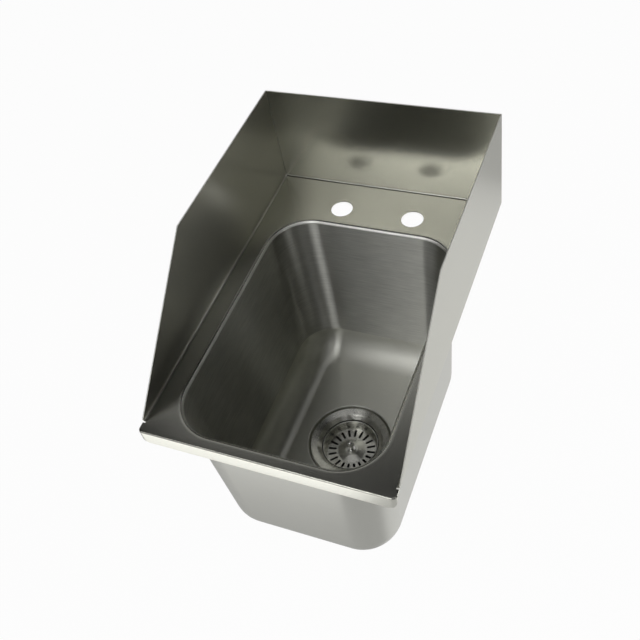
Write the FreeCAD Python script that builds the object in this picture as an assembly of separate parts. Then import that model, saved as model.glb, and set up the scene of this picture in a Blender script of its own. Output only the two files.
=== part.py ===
import FreeCAD, Part
import math
import os

# Drop-in sink with a backsplash and tapered side splashes, in millimetres.
# The origin is on the counter plane, under the deck, on the axis of the bowl and its drain.
# +X is to the right, +Y to the backsplash and +Z up.

V = FreeCAD.Vector
NEAR = 1e-4                # two lengths closer than this are the same
DIAGONAL = math.sqrt(0.5)

# Deck and splashes
DECK_WIDTH = 317.5
FRONT_MARGIN = 17.0        # deck in front of the bowl
FAUCET_LEDGE = 84.6        # deck behind the bowl
SHEET = 1.5
BEND_RADIUS = 2.5          # inside radius of the brake bends
APRON_HEIGHT = 21.0        # from the deck's top to the apron's lower edge
APRON_CORNER = 18.0
SPLASH_HEIGHT = 146.0      # above the deck's top
SPLASH_FULL = 262.0        # full-height stretch of a side splash, from the back
SPLASH_SETBACK = 15.0      # front tip of a side splash, behind the deck's front edge
TIP_HEIGHT = 0.5           # upright part of the tip, above its bend
TIP_RELIEF = 3.0           # notch between a tip and the deck's front corner

# Bowl
BOWL_WIDTH = 254.0
BOWL_LENGTH = 355.6
BOWL_DEPTH = 257.0         # from the deck's top
BOWL_SHEET = 1.2
BOWL_CORNER = 55.0         # upright corners at the rim
BOWL_FOOT_CORNER = 50.0    # upright corners at the floor
SIDE_DRAFT = 2.2           # degrees, left and right walls
END_DRAFT = 2.75           # degrees, front and back walls
COVE_RADIUS = 40.0
RIM_RADIUS = 3.0           # rolled edge between deck and bowl
RIM_LAND = 3.0             # flat of the rim that is welded into the deck

# Faucet holes
FAUCET_SPACING = 101.6
FAUCET_HOLE = 30.0
FAUCET_FROM_BACK = 53.0

# Drawn seat in the bowl's floor, for the drain
SEAT_RADIUS = 60.5
SEAT_DEPTH = 7.0
SEAT_SLOPE = 1.5           # how far the seat's wall leans in
SEAT_EDGE = 1.5            # rounding where the floor turns into the seat
DRAIN_HOLE = 46.5          # radius

# Drain body: dished flange and cup, with the threaded outlet under it
DRAIN_SHEET = 1.2
FLANGE_RADIUS = 57.5
LIP_DROP = 1.2             # the flange's lip, below the bowl's floor
SHOULDER_RADIUS = 47.5
SHOULDER_DROP = 3.6
CUP_RADIUS = 41.6
MOUTH_DROP = 8.6           # where the cup's straight wall begins
CUP_DEPTH = 42.0
OUTLET_BORE = 18.0         # radius
OUTLET_WALL = 5.6
OUTLET_LENGTH = 16.0
SEAL_INSET = 1.5           # the flange's seal, inside its lip
SEAL_GAP = 0.3             # between the seal and the flange's slope

# Nuts and washers that clamp the drain to the bowl
GASKET = 3.0
FRICTION_RING = 1.0
LOCK_NUT_HEIGHT = 9.0
CLAMP_RADIUS = 55.0        # outside of gasket, ring and nut
LOCK_NUT_LUGS = 6
LUG_REACH = 5.0
LUG_WIDTH = 10.0
LUG_ROOT = 3.0             # how far a lug goes into the ring
THREAD_GAP = 0.2           # between a nut and the thread that it is on

# Tailpiece and its coupling nut
TAIL_DIAMETER = 38.1
TAIL_WALL = 1.2
TAIL_LENGTH = 101.6
TAIL_FLANGE = 1.5
TAIL_NECK = 1.0            # drawn-in stretch of the tube, past the coupling nut
TAIL_NECK_STEP = 0.3
TAIL_WASHER = 2.0
COUPLING_WALL = 4.5
COUPLING_LIP = 2.0
COUPLING_GRIP = 12.0       # length of thread inside the nut
COUPLING_SIDES = 8

# Spider that guides the basket's post, in the outlet
SPIDER_HEIGHT = 5.0
SPIDER_DROP = 6.0          # below the cup's floor
SPIDER_HUB = 7.5
SPIDER_ARM = 3.5
SPIDER_ARMS = 4
SPIDER_EASE = 0.4          # around the post's pin

# Strainer basket
BASKET_SHEET = 0.9
BASKET_EASE = 0.6          # between the rim and the cup's wall
BASKET_DROP = 9.0          # rim, below the bowl's floor
BASKET_LIP = 1.6
BASKET_HEIGHT = 17.0       # rim to the slotted ring
BASKET_FOOT = 37.0
CROWN_RADIUS = 20.0        # where the middle starts to rise
CROWN_FLAT = 9.0
CROWN_RISE = 2.5
SLOTS = 20
SLOT_INNER = 23.0
SLOT_OUTER = 35.0
SLOT_WIDTH = 2.8

# Lift post, stopper and the nut that holds it
KNOB_RADIUS = 5.8
KNOB_STAND = 11.7          # ball's centre above the collar
NECK_RADIUS = 3.0
COLLAR_RADIUS = 6.0
COLLAR_HEIGHT = 2.5
COLLAR_GAP = 0.3           # the basket turns under the collar
SHANK_RADIUS = 4.0
SHANK_EASE = 0.05          # running fit of the basket on the shank
SHOULDER_STEP = 3.0        # ledge under the basket, beyond the shank
PIN_RADIUS = 3.0
STOPPER_RADIUS = 25.0
STOPPER_HEIGHT = 6.0
STOPPER_CHAMFER = 1.5
STOPPER_NUT_RADIUS = 7.5
STOPPER_NUT_HEIGHT = 3.5
PIN_REACH = 3.0            # pin, below the spider

# Hold-down clips under the deck, two on each side
CLIP_SPACING = 200.0
CLIP_EDGE = 6.0            # stud, outside the weld of bowl and deck
STUD_DIAMETER = 6.0
STUD_LENGTH = 55.0
STUD_EASE = 0.4
NUT_SIDES = 6
NUT_FLATS = 11.0
NUT_HEIGHT = 6.0
NUT_FROM_END = 3.0
WASHER_RADIUS = 7.0
WASHER_HEIGHT = 1.2
CLIP_SHEET = 2.5
CLIP_WIDTH = 12.0
CLIP_REACH = 34.0
CLIP_TOOTH = 7.0

# Places that follow from the sizes
deck_top = SHEET
bend_outer = BEND_RADIUS + SHEET
deck_front = -BOWL_LENGTH / 2 - FRONT_MARGIN
deck_back = BOWL_LENGTH / 2 + FAUCET_LEDGE
deck_side = DECK_WIDTH / 2
rim_width = RIM_RADIUS + RIM_LAND
side_slope = math.tan(math.radians(SIDE_DRAFT))
end_slope = math.tan(math.radians(END_DRAFT))

floor_top = deck_top - BOWL_DEPTH
seat_top = floor_top - SEAT_DEPTH
seat_under = seat_top - BOWL_SHEET
lip_top = floor_top - LIP_DROP
shoulder_z = floor_top - SHOULDER_DROP
mouth_z = floor_top - MOUTH_DROP
cup_floor = floor_top - CUP_DEPTH
cup_under = cup_floor - DRAIN_SHEET
outlet_end = cup_floor - OUTLET_LENGTH
cup_outer = CUP_RADIUS + DRAIN_SHEET
clamp_bore = cup_outer + THREAD_GAP
outlet_outer = OUTLET_BORE + OUTLET_WALL

gasket_under = seat_under - GASKET
ring_under = gasket_under - FRICTION_RING

tail_outer = TAIL_DIAMETER / 2
tail_top = outlet_end - TAIL_WASHER
spider_top = cup_floor - SPIDER_DROP
spider_under = spider_top - SPIDER_HEIGHT

basket_rim = floor_top - BASKET_DROP
basket_floor = basket_rim - BASKET_HEIGHT
crown_top = basket_floor + CROWN_RISE
crown_under = crown_top - BASKET_SHEET
collar_under = crown_top + COLLAR_GAP
stopper_top = cup_floor + STOPPER_HEIGHT

stud_x = BOWL_WIDTH / 2 + rim_width + CLIP_EDGE
nut_under = NUT_FROM_END - STUD_LENGTH
washer_under = nut_under + NUT_HEIGHT
bracket_under = washer_under + WASHER_HEIGHT


def closed_wire(points):
    """Straight-sided outline through the points."""
    return Part.makePolygon(list(points) + [points[0]])


def turned(profile):
    """Solid of revolution about the drain's axis, from (radius, height) corners."""
    wire = closed_wire([V(r, 0, z) for r, z in profile])
    return Part.Face(wire).revolve(V(0, 0, 0), V(0, 0, 1), 360)


def washer(inner, outer, low, high):
    """Flat ring on the drain's axis."""
    return turned([(inner, low), (outer, low), (outer, high), (inner, high)])


def sheet_profile(path, thickness):
    """Closed profile of a formed sheet: the path, and its offset to the left of the path."""
    normals = []
    for (r0, z0), (r1, z1) in zip(path, path[1:]):
        length = math.hypot(r1 - r0, z1 - z0)
        normals.append(((z0 - z1) / length, (r1 - r0) / length))
    before = [normals[0]] + normals
    after = normals + [normals[-1]]
    offset = []
    for (r, z), a, b in zip(path, before, after):
        reach = thickness / (1 + a[0] * b[0] + a[1] * b[1])
        offset.append((r + reach * (a[0] + b[0]), z + reach * (a[1] + b[1])))
    return path + offset[::-1]


def rounded_rectangle(width, length, radius, z):
    """Wire of a rectangle about the bowl's axis, with round corners."""
    x = width / 2
    y = length / 2
    slant = radius * DIAGONAL
    edges = []
    corners = [(1, 1), (-1, 1), (-1, -1), (1, -1)]
    ends = []
    for sx, sy in corners:
        along_x = V(sx * (x - radius), sy * y, z)
        along_y = V(sx * x, sy * (y - radius), z)
        centre = V(sx * (x - radius), sy * (y - radius), z)
        middle = centre + V(sx * slant, sy * slant, 0)
        first, last = (along_y, along_x) if sx == sy else (along_x, along_y)
        edges.append(Part.Arc(first, middle, last).toShape())
        ends.append((first, last))
    lines = []
    for (_, last), (first, _) in zip(ends, ends[1:] + ends[:1]):
        lines.append(Part.makeLine(last, first))
    order = [edge for pair in zip(edges, lines) for edge in pair]
    return Part.Wire(order)


def plate(wire, height):
    """Flat plate raised from a wire."""
    return Part.Face(wire).extrude(V(0, 0, height))


def rim_plate(grow, low, height):
    """Plate with the plan of the bowl's rim, grown outwards."""
    width = BOWL_WIDTH + 2 * grow
    length = BOWL_LENGTH + 2 * grow
    return plate(rounded_rectangle(width, length, BOWL_CORNER + grow, low), height)


def bend_section(side, high):
    """Outline of an upright sheet with a bent foot: (distance from centre, height) points.

    side is the outer face's distance. The foot starts at the deck's edge.
    """
    centre = V(side - bend_outer, 0, deck_top + BEND_RADIUS)
    foot_outer = centre - V(0, 0, bend_outer)
    foot_inner = centre - V(0, 0, BEND_RADIUS)
    rise_outer = centre + V(bend_outer, 0, 0)
    rise_inner = centre + V(BEND_RADIUS, 0, 0)
    top_outer = V(side, 0, high)
    top_inner = V(side - SHEET, 0, high)
    outer_middle = centre + V(bend_outer * DIAGONAL, 0, -bend_outer * DIAGONAL)
    inner_middle = centre + V(BEND_RADIUS * DIAGONAL, 0, -BEND_RADIUS * DIAGONAL)
    return Part.Wire([
        Part.Arc(foot_outer, outer_middle, rise_outer).toShape(),
        Part.makeLine(rise_outer, top_outer),
        Part.makeLine(top_outer, top_inner),
        Part.makeLine(top_inner, rise_inner),
        Part.Arc(rise_inner, inner_middle, foot_inner).toShape(),
        Part.makeLine(foot_inner, foot_outer),
    ])


def prism(points, low, high):
    """Upright prism over (x, y) corners."""
    return plate(closed_wire([V(x, y, low) for x, y in points]), high - low)


def side_splash():
    """Right-hand side splash: bent foot, tapered front, mitred back corner."""
    top = deck_top + SPLASH_HEIGHT
    tip = deck_front + SPLASH_SETBACK
    kink = deck_back - SPLASH_FULL
    tip_top = deck_top + BEND_RADIUS + TIP_HEIGHT
    section = bend_section(deck_side, top)
    section.translate(V(0, tip, 0))
    sheet = Part.Face(section).extrude(V(0, deck_back - tip, 0))
    taper = closed_wire([V(0, tip, tip_top), V(0, kink, top), V(0, tip, top)])
    sheet = sheet.cut(Part.Face(taper).extrude(V(deck_side, 0, 0)))
    inside = deck_side - bend_outer
    mitre = prism([(deck_side, deck_back), (inside, deck_back), (inside, deck_back - bend_outer)], 0, top)
    return sheet.cut(mitre)


def back_splash():
    """Backsplash: bent foot and mitred ends."""
    top = deck_top + SPLASH_HEIGHT
    section = bend_section(deck_back, top)
    section.rotate(V(0, 0, 0), V(0, 0, 1), 90)
    section.translate(V(deck_side, 0, 0))
    sheet = Part.Face(section).extrude(V(-DECK_WIDTH, 0, 0))
    inside = deck_back - bend_outer
    for sign in (-1, 1):
        side = sign * deck_side
        corner = [(side, deck_back), (side, inside), (side - sign * bend_outer, inside)]
        sheet = sheet.cut(prism(corner, 0, top))
    return sheet


def apron():
    """Front of the deck: the bend over the edge and the apron with its round lower corners."""
    low = deck_top - APRON_HEIGHT
    centre = V(-deck_side, deck_front + bend_outer, deck_top - bend_outer)
    outer_top = centre + V(0, 0, bend_outer)
    outer_middle = centre + V(0, -bend_outer * DIAGONAL, bend_outer * DIAGONAL)
    outer_side = centre + V(0, -bend_outer, 0)
    inner_top = centre + V(0, 0, BEND_RADIUS)
    inner_middle = centre + V(0, -BEND_RADIUS * DIAGONAL, BEND_RADIUS * DIAGONAL)
    inner_side = centre + V(0, -BEND_RADIUS, 0)
    outer_low = V(-deck_side, deck_front, low)
    inner_low = V(-deck_side, deck_front + SHEET, low)
    section = Part.Wire([
        Part.Arc(outer_top, outer_middle, outer_side).toShape(),
        Part.makeLine(outer_side, outer_low),
        Part.makeLine(outer_low, inner_low),
        Part.makeLine(inner_low, inner_side),
        Part.Arc(inner_side, inner_middle, inner_top).toShape(),
        Part.makeLine(inner_top, outer_top),
    ])
    sheet = Part.Face(section).extrude(V(DECK_WIDTH, 0, 0))
    for sign in (-1, 1):
        corner = V(sign * deck_side, deck_front, low)
        middle = corner + V(-sign * APRON_CORNER, 0, APRON_CORNER)
        block = Part.makeBox(APRON_CORNER, bend_outer, APRON_CORNER)
        block.translate(V(min(corner.x, middle.x), deck_front, low))
        round_off = Part.makeCylinder(APRON_CORNER, bend_outer, middle, V(0, 1, 0))
        sheet = sheet.cut(block.cut(round_off))
    return sheet


def deck():
    """Flat top with its front corners and apron, open for the bowl and the faucet."""
    front = deck_front + bend_outer
    ear_back = deck_front + SPLASH_SETBACK - TIP_RELIEF
    back = deck_back - bend_outer
    inside = deck_side - bend_outer
    outline = [
        (deck_side, front), (deck_side, ear_back), (inside, ear_back), (inside, back),
        (-inside, back), (-inside, ear_back), (-deck_side, ear_back), (-deck_side, front),
    ]
    sheet = prism(outline, 0, deck_top)
    sheet = sheet.cut(rim_plate(rim_width, 0, SHEET))
    for sign in (-1, 1):
        place = V(sign * FAUCET_SPACING / 2, deck_back - FAUCET_FROM_BACK, 0)
        sheet = sheet.cut(Part.makeCylinder(FAUCET_HOLE / 2, SHEET, place))
    return sheet.fuse(apron()).removeSplitter()


def bowl_block(grow):
    """Solid with the bowl's inner form, grown outwards by a wall."""
    depth = BOWL_DEPTH + grow
    low = deck_top - depth
    width = BOWL_WIDTH + 2 * grow
    length = BOWL_LENGTH + 2 * grow
    foot_width = width - 2 * depth * side_slope
    foot_length = length - 2 * depth * end_slope
    foot = rounded_rectangle(foot_width, foot_length, BOWL_FOOT_CORNER + grow, low)
    rim = rounded_rectangle(width, length, BOWL_CORNER + grow, deck_top)
    block = Part.makeLoft([foot, rim], True, True)
    cove = [edge for edge in block.Edges if edge.BoundBox.ZMax < low + SHEET]
    return block.makeFillet(COVE_RADIUS + grow, cove)


def circle_edges(shape, radius, z):
    """Round edges of one radius at one height."""
    found = []
    for edge in shape.Edges:
        flat = edge.BoundBox.ZLength < NEAR and abs(edge.BoundBox.ZMax - z) < NEAR
        if flat and isinstance(edge.Curve, Part.Circle) and abs(edge.Curve.Radius - radius) < NEAR:
            found.append(edge)
    return found


def bowl_hollow():
    """Space inside the bowl, flared at the top by the rolled rim."""
    space = bowl_block(0).fuse(rim_plate(rim_width, deck_top, RIM_RADIUS)).removeSplitter()
    rim = []
    for edge in space.Edges:
        box = edge.BoundBox
        at_top = box.ZLength < NEAR and abs(box.ZMax - deck_top) < NEAR
        within_x = max(-box.XMin, box.XMax) < BOWL_WIDTH / 2 + NEAR
        within_y = max(-box.YMin, box.YMax) < BOWL_LENGTH / 2 + NEAR
        if at_top and within_x and within_y:
            rim.append(edge)
    return space.makeFillet(RIM_RADIUS, rim)


def bowl():
    """Drawn bowl: rolled rim, drafted walls, coved floor and a sunk seat for the drain."""
    land = rim_plate(rim_width, 0, SHEET)
    sunk = turned([
        (0, seat_under), (SEAT_RADIUS - SEAT_SLOPE + BOWL_SHEET, seat_under),
        (SEAT_RADIUS + BOWL_SHEET, floor_top - BOWL_SHEET), (0, floor_top - BOWL_SHEET),
    ])
    hollow = turned([
        (0, seat_top), (SEAT_RADIUS - SEAT_SLOPE, seat_top), (SEAT_RADIUS, floor_top), (0, floor_top),
    ])
    drain = Part.makeCylinder(DRAIN_HOLE, SEAT_DEPTH + BOWL_SHEET, V(0, 0, seat_under))
    shell = bowl_block(BOWL_SHEET).fuse(land).fuse(sunk)
    shell = shell.cut(bowl_hollow()).cut(hollow).cut(drain).removeSplitter()
    return shell.makeFillet(SEAT_EDGE, circle_edges(shell, SEAT_RADIUS, floor_top))


def drain_body():
    """Dished flange and cup, drawn in one piece."""
    path = [
        (FLANGE_RADIUS, seat_top), (FLANGE_RADIUS, lip_top), (SHOULDER_RADIUS, shoulder_z),
        (CUP_RADIUS, mouth_z), (CUP_RADIUS, cup_floor), (OUTLET_BORE, cup_floor),
    ]
    return turned(sheet_profile(path, DRAIN_SHEET))


def flange_seal():
    """Soft ring between the flange's underside and the bowl's seat."""
    slope = (lip_top - shoulder_z) / (FLANGE_RADIUS - SHOULDER_RADIUS)
    drop = DRAIN_SHEET * math.hypot(1, slope) + SEAL_GAP
    outer = FLANGE_RADIUS - DRAIN_SHEET - SEAL_INSET
    inner = SHOULDER_RADIUS
    outer_top = shoulder_z + slope * (outer - SHOULDER_RADIUS) - drop
    return turned([(inner, seat_top), (outer, seat_top), (outer, outer_top), (inner, shoulder_z - drop)])


def lock_nut():
    """Large ring nut under the bowl, with lugs for a spanner."""
    low = ring_under - LOCK_NUT_HEIGHT
    ring = washer(clamp_bore, CLAMP_RADIUS - LUG_REACH, low, ring_under)
    root = CLAMP_RADIUS - LUG_REACH - LUG_ROOT
    for number in range(LOCK_NUT_LUGS):
        lug = Part.makeBox(CLAMP_RADIUS - root, LUG_WIDTH, LOCK_NUT_HEIGHT, V(root, -LUG_WIDTH / 2, low))
        lug.rotate(V(0, 0, 0), V(0, 0, 1), 360 * number / LOCK_NUT_LUGS)
        ring = ring.fuse(lug)
    return ring.removeSplitter()


def spider():
    """Hub and arms across the outlet."""
    body = washer(PIN_RADIUS + SPIDER_EASE, SPIDER_HUB, spider_under, spider_top)
    start = (PIN_RADIUS + SPIDER_EASE + SPIDER_HUB) / 2
    bore = Part.makeCylinder(OUTLET_BORE, SPIDER_HEIGHT, V(0, 0, spider_under))
    for number in range(SPIDER_ARMS):
        arm = Part.makeBox(OUTLET_BORE, SPIDER_ARM, SPIDER_HEIGHT)
        arm.translate(V(start, -SPIDER_ARM / 2, spider_under))
        arm.rotate(V(0, 0, 0), V(0, 0, 1), 360 * number / SPIDER_ARMS)
        body = body.fuse(arm.common(bore))
    return body.removeSplitter()


def tailpiece():
    """Thin tube with a flange at its top and a drawn-in neck where the coupling nut turns."""
    bore = tail_outer - TAIL_WALL
    flange_under = tail_top - TAIL_FLANGE
    neck_end = flange_under - COUPLING_LIP - TAIL_NECK
    tail_end = tail_top - TAIL_LENGTH
    neck = tail_outer - TAIL_NECK_STEP
    return turned([
        (bore, tail_top), (outlet_outer, tail_top), (outlet_outer, flange_under), (neck, flange_under),
        (neck, neck_end), (tail_outer, neck_end), (tail_outer, tail_end), (bore, tail_end),
    ])


def regular_prism(sides, flats, low, high):
    """Prism with a regular outline, flats being the distance across it."""
    radius = flats / 2 / math.cos(math.pi / sides)
    corners = []
    for number in range(sides):
        angle = 2 * math.pi * (number + 0.5) / sides
        corners.append((radius * math.cos(angle), radius * math.sin(angle)))
    return prism(corners, low, high)


def coupling_nut():
    """Nut that draws the tailpiece's flange up against the outlet."""
    bore = outlet_outer + THREAD_GAP
    lip_z = tail_top - TAIL_FLANGE
    low = lip_z - COUPLING_LIP
    high = outlet_end + COUPLING_GRIP
    body = regular_prism(COUPLING_SIDES, 2 * (bore + COUPLING_WALL), low, high)
    hollow = turned([
        (0, low), (tail_outer + THREAD_GAP, low), (tail_outer + THREAD_GAP, lip_z),
        (bore, lip_z), (bore, high), (0, high),
    ])
    return body.cut(hollow)


def strainer_basket():
    """Shallow basket: lipped rim, leaning wall, slotted ring and a raised middle."""
    rim = CUP_RADIUS - BASKET_EASE
    hole = SHANK_RADIUS + SHANK_EASE
    path = [
        (rim, basket_rim), (rim - BASKET_LIP, basket_rim), (BASKET_FOOT, basket_floor),
        (CROWN_RADIUS, basket_floor), (CROWN_FLAT, crown_top), (hole, crown_top),
    ]
    profile = sheet_profile(path, BASKET_SHEET)
    profile[-len(path)] = (hole, crown_under)
    body = turned(profile)
    depth = 3 * BASKET_SHEET
    low = basket_floor - 2 * BASKET_SHEET
    run = SLOT_OUTER - SLOT_INNER - SLOT_WIDTH
    for number in range(SLOTS):
        inner_end = V(SLOT_INNER + SLOT_WIDTH / 2, 0, low)
        slot = Part.makeBox(run, SLOT_WIDTH, depth, inner_end - V(0, SLOT_WIDTH / 2, 0))
        slot = slot.fuse(Part.makeCylinder(SLOT_WIDTH / 2, depth, inner_end))
        slot = slot.fuse(Part.makeCylinder(SLOT_WIDTH / 2, depth, inner_end + V(run, 0, 0)))
        slot.rotate(V(0, 0, 0), V(0, 0, 1), 360 * (number + 0.5) / SLOTS)
        body = body.cut(slot)
    return body


def basket_post():
    """Lift post: ball knob, neck, collar over the basket, shank, ledge and guide pin."""
    collar_top = collar_under + COLLAR_HEIGHT
    ball_z = collar_top + KNOB_STAND
    ledge = SHANK_RADIUS + SHOULDER_STEP
    pin_end = spider_under - PIN_REACH
    stem = turned([
        (0, pin_end), (PIN_RADIUS, pin_end), (PIN_RADIUS, stopper_top), (ledge, stopper_top),
        (ledge, crown_under), (SHANK_RADIUS, crown_under), (SHANK_RADIUS, collar_under),
        (COLLAR_RADIUS, collar_under), (COLLAR_RADIUS, collar_top), (NECK_RADIUS, collar_top),
        (NECK_RADIUS, ball_z), (0, ball_z),
    ])
    return stem.fuse(Part.makeSphere(KNOB_RADIUS, V(0, 0, ball_z))).removeSplitter()


def basket_stopper():
    """Rubber disc that closes the outlet, bevelled at its lower edge."""
    return turned([
        (PIN_RADIUS, cup_floor), (STOPPER_RADIUS - STOPPER_CHAMFER, cup_floor),
        (STOPPER_RADIUS, cup_floor + STOPPER_CHAMFER), (STOPPER_RADIUS, stopper_top), (PIN_RADIUS, stopper_top),
    ])


def clip_studs():
    """Studs welded to the deck's underside."""
    studs = []
    for x, y in clip_places.values():
        studs.append(Part.makeCylinder(STUD_DIAMETER / 2, STUD_LENGTH, V(x, y, -STUD_LENGTH)))
    return Part.makeCompound(studs)


def clip_bracket():
    """Clamp strip on a stud, parked along the deck's edge, with a tooth that bites the counter."""
    half = CLIP_WIDTH / 2
    strip = Part.makeBox(CLIP_WIDTH, CLIP_REACH, CLIP_SHEET, V(-half, -CLIP_REACH, bracket_under))
    strip = strip.fuse(Part.makeCylinder(half, CLIP_SHEET, V(0, 0, bracket_under)))
    tooth = Part.makeBox(CLIP_WIDTH, CLIP_SHEET, CLIP_TOOTH, V(-half, -CLIP_REACH, bracket_under))
    hole = Part.makeCylinder(STUD_DIAMETER / 2 + STUD_EASE, CLIP_SHEET, V(0, 0, bracket_under))
    return strip.fuse(tooth).cut(hole).removeSplitter()


def clip_washer():
    """Washer between a bracket and its nut."""
    return washer(STUD_DIAMETER / 2 + STUD_EASE, WASHER_RADIUS, washer_under, bracket_under)


def clip_nut():
    """Hexagon nut on a stud."""
    bore = Part.makeCylinder(STUD_DIAMETER / 2 + STUD_EASE, NUT_HEIGHT, V(0, 0, nut_under))
    return regular_prism(NUT_SIDES, NUT_FLATS, nut_under, washer_under).cut(bore)


clip_places = {
    "left_front": (-stud_x, -CLIP_SPACING / 2),
    "left_rear": (-stud_x, CLIP_SPACING / 2),
    "right_front": (stud_x, -CLIP_SPACING / 2),
    "right_rear": (stud_x, CLIP_SPACING / 2),
}

right_splash = side_splash()

parts = {
    "deck": deck(),
    "back_splash": back_splash(),
    "right_side_splash": right_splash,
    "left_side_splash": right_splash.mirror(V(0, 0, 0), V(1, 0, 0)),
    "bowl": bowl(),
    "drain_body": drain_body(),
    "drain_outlet": washer(OUTLET_BORE, outlet_outer, outlet_end, cup_under),
    "flange_seal": flange_seal(),
    "drain_gasket": washer(DRAIN_HOLE, CLAMP_RADIUS, gasket_under, seat_under),
    "friction_ring": washer(clamp_bore, CLAMP_RADIUS, ring_under, gasket_under),
    "lock_nut": lock_nut(),
    "drain_spider": spider(),
    "tailpiece_washer": washer(OUTLET_BORE, outlet_outer, tail_top, outlet_end),
    "tailpiece": tailpiece(),
    "coupling_nut": coupling_nut(),
    "strainer_basket": strainer_basket(),
    "basket_post": basket_post(),
    "basket_stopper": basket_stopper(),
    "stopper_nut": washer(PIN_RADIUS, STOPPER_NUT_RADIUS, cup_floor - STOPPER_NUT_HEIGHT, cup_floor),
    "clip_studs": clip_studs(),
}

for name, (x, y) in clip_places.items():
    for piece, shape in (("bracket", clip_bracket()), ("washer", clip_washer()), ("nut", clip_nut())):
        shape.translate(V(x, y, 0))
        parts[name + "_clip_" + piece] = shape

os.makedirs("parts", exist_ok=True)
for name, shape in parts.items():
    shape.exportStep("parts/" + name + ".step")
    print(name, len(shape.Solids), round(shape.Volume), shape.isValid())
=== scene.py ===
# %% [markdown]
# # A drop-in sink in brushed steel
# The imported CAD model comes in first, as a frame that nothing moves. Each visible piece is then
# rebuilt as a smooth mesh in the same place, in metres, and stands for its CAD node. The plain
# nodes are made of loose triangles, and bright metal would show every facet of them.

# %% Load the frame
import math

import bmesh
import bpy
from mathutils import Euler, Matrix, Vector


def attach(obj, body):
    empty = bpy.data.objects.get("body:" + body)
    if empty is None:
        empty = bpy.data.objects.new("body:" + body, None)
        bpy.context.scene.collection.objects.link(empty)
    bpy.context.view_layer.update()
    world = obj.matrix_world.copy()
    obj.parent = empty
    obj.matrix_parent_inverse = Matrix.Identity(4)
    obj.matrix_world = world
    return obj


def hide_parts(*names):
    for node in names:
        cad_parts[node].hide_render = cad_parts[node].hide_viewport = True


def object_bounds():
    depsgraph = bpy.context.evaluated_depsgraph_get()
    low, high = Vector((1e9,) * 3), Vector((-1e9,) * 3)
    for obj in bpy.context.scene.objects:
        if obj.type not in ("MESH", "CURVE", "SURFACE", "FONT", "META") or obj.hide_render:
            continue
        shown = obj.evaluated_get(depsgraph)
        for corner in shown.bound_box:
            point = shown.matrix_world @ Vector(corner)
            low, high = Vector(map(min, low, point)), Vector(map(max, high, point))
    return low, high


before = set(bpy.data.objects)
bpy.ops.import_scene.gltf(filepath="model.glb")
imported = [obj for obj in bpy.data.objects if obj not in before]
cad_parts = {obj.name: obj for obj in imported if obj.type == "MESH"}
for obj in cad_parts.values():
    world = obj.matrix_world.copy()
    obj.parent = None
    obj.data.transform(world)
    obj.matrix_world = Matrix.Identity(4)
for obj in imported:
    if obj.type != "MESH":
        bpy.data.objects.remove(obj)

cad_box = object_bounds()
print("CAD box", [[round(value, 4) for value in corner] for corner in cad_box])

# %% [markdown]
# ## The camera
# The photo looks down into the sink from its right front corner, with the camera tipped to one
# side. Its place and lens were solved from the corners of the deck and splashes, so they are
# written as numbers here. An Euler turn reads well for this: up from straight down, round, and
# the tip about the line of sight first.

# %% Camera
CAMERA_PLACE = (0.35873, -0.57543, 0.80392)
CAMERA_AZIMUTH = 31.875
CAMERA_ELEVATION = 49.113
CAMERA_TIP = -13.966
CAMERA_LENS = 48.156

scene = bpy.context.scene
scene.view_settings.view_transform = "Standard"
camera_data = bpy.data.cameras.new("camera")
camera_data.lens = CAMERA_LENS
camera_data.sensor_width = 36
camera_data.clip_start = 0.01
camera = bpy.data.objects.new("camera", camera_data)
scene.collection.objects.link(camera)
turn = Euler((math.radians(90 - CAMERA_ELEVATION), 0, math.radians(CAMERA_AZIMUTH))).to_matrix()
tip = Matrix.Rotation(math.radians(CAMERA_TIP), 3, "Z")
camera.matrix_world = Matrix.Translation(CAMERA_PLACE) @ (turn @ tip).to_4x4()
scene.camera = camera
print("camera looks along", [round(value, 3) for value in (turn @ tip) @ Vector((0, 0, -1))])

# %% [markdown]
# ## The studio
# Steel has hardly any colour of its own: it shows the room. The photo was taken over a white
# sweep in a dark studio, and what the steel mirrors tells where its lights stood. So the floor
# and the horizon are pale here and the ceiling is dark. A bright box in front draws the streak
# down the bowl's corner, with weaker ones at its sides. A box over the left front lights the
# rear deck and the bowl's floor, panels overhead and behind lift the flat parts, and lamps at the
# right rear light the edges. Cards on the floor light the apron and the right splash from below.
# A picture is the sum of its one-lamp pictures, so the large lamps' strengths were fitted to the
# photo's tones. The strip and the two cards were set one by one.

# %% Floor
def node_of(tree, kind, **values):
    """New node, with its sockets or settings filled in."""
    node = tree.nodes.new(kind)
    for name, value in values.items():
        if name in node.inputs:
            node.inputs[name].default_value = value
        else:
            setattr(node, name, value)
    return node


FLOOR_SPAN = 8.0
FLOOR_SEEN = 0.97
FLOOR_MIRRORED = 0.40
FLOOR_GAP = 0.0005

floor_mesh = bmesh.new()
bmesh.ops.create_grid(floor_mesh, x_segments=1, y_segments=1, size=FLOOR_SPAN / 2)
bmesh.ops.translate(floor_mesh, verts=floor_mesh.verts, vec=(0, 0, cad_box[0][2] - FLOOR_GAP))
floor_data = bpy.data.meshes.new("floor")
floor_mesh.to_mesh(floor_data)
floor_mesh.free()
floor = bpy.data.objects.new("floor", floor_data)
scene.collection.objects.link(floor)

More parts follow.
